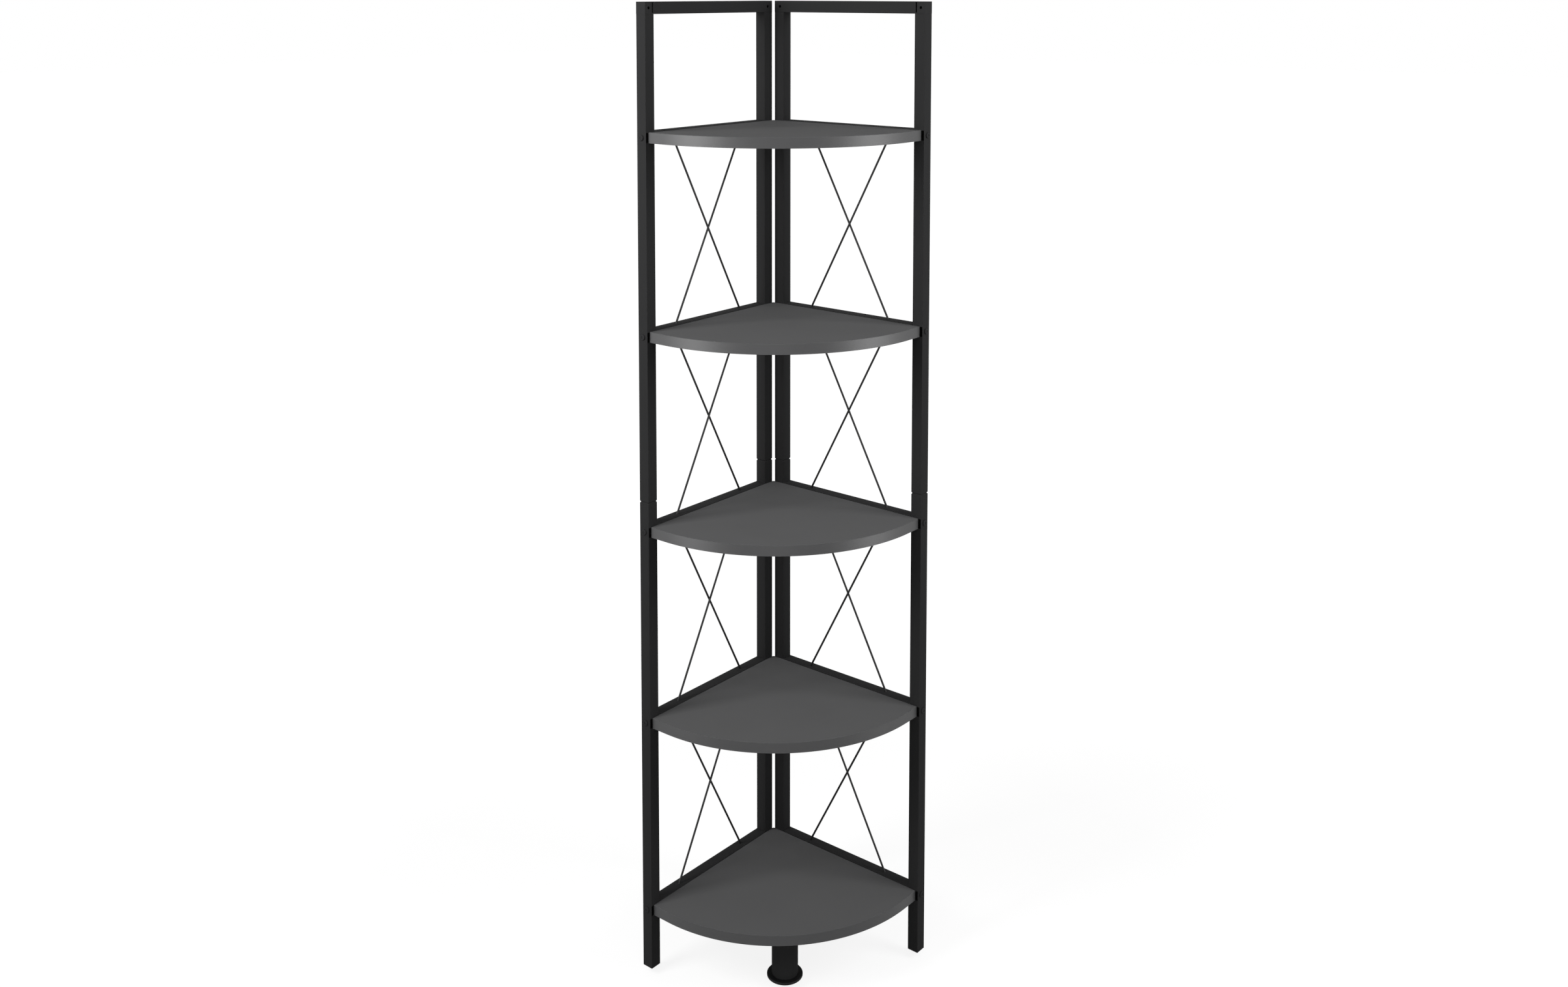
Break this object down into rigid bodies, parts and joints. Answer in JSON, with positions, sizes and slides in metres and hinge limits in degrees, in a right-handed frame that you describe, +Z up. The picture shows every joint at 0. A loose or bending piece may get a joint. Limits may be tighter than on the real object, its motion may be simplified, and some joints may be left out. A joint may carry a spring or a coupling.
{
  "type": "corner shelf unit",
  "caption": "Tall dark quarter-round corner shelf unit: boards held between two square-tube ladder frames with crossed rods, with a round levelling leg under the lowest board.",
  "frame": {"origin": "on the floor, in the middle of the unit's box", "axes": "+Z up; the wall with the left frame is at -X and the wall with the right frame is at +Y, so the room's corner is towards -X and +Y and the boards' round fronts face +X and -Y"},
  "size_m": [0.3422, 0.3422, 1.623],
  "materials": {
    "frame_steel": "satin anthracite powder coat on square steel tube, plate and rod",
    "dark_board": "fine matt dark grey lacquer on board, edges included",
    "bolt_steel": "blackened button-head bolts",
    "black_plastic": "fine-grained black plastic",
    "zinc_steel": "bright zinc-plated steel inside the joints and on the foot's stem"
  },
  "bodies": {
    "shelf_unit": {"left_front_lower_post": "frame_steel", "left_front_upper_post": "frame_steel", "left_front_post_joiner": "zinc_steel", "left_front_bar_spigot": "frame_steel", "left_front_foot_cap": "black_plastic", "left_rear_lower_post": "frame_steel", "left_rear_upper_post": "frame_steel", "left_rear_post_joiner": "zinc_steel", "left_rear_bar_spigot": "frame_steel", "left_rear_foot_cap": "black_plastic", "left_top_bar": "frame_steel", "left_rail_1": "frame_steel", "left_front_bolt_1": "bolt_steel", "left_rail_2": "frame_steel", "left_front_bolt_2": "bolt_steel", "left_rail_3": "frame_steel", "left_front_bolt_3": "bolt_steel", "left_rail_4": "frame_steel", "left_front_bolt_4": "bolt_steel", "left_rail_5": "frame_steel", "left_front_bolt_5": "bolt_steel", "left_cross_brace_1": "frame_steel", "left_cross_brace_2": "frame_steel", "left_cross_brace_3": "frame_steel", "left_cross_brace_4": "frame_steel", "right_front_lower_post": "frame_steel", "right_front_upper_post": "frame_steel", "right_front_post_joiner": "zinc_steel", "right_front_bar_spigot": "frame_steel", "right_front_foot_cap": "black_plastic", "right_rear_lower_post": "frame_steel", "right_rear_upper_post": "frame_steel", "right_rear_post_joiner": "zinc_steel", "right_rear_bar_spigot": "frame_steel", "right_rear_foot_cap": "black_plastic", "right_top_bar": "frame_steel", "right_rail_1": "frame_steel", "right_front_bolt_1": "bolt_steel", "right_rail_2": "frame_steel", "right_front_bolt_2": "bolt_steel", "right_rail_3": "frame_steel", "right_front_bolt_3": "bolt_steel", "right_rail_4": "frame_steel", "right_front_bolt_4": "bolt_steel", "right_rail_5": "frame_steel", "right_front_bolt_5": "bolt_steel", "right_cross_brace_1": "frame_steel", "right_cross_brace_2": "frame_steel", "right_cross_brace_3": "frame_steel", "right_cross_brace_4": "frame_steel", "shelf_board_1": "dark_board", "shelf_board_2": "dark_board", "shelf_board_3": "dark_board", "shelf_board_4": "dark_board", "shelf_board_5": "dark_board", "leg_mounting_plate": "frame_steel", "leg_tube": "frame_steel", "leg_end_plug": "black_plastic"},
    "levelling_foot": {"levelling_foot_pad": "black_plastic", "levelling_foot_stem": "zinc_steel"}
  },
  "joints": [
    {"name": "foot_screw", "type": "slide", "parent": "shelf_unit", "child": "levelling_foot", "axis": [0, 0, 1], "range_m": [-0.012, 0]}
  ]
}
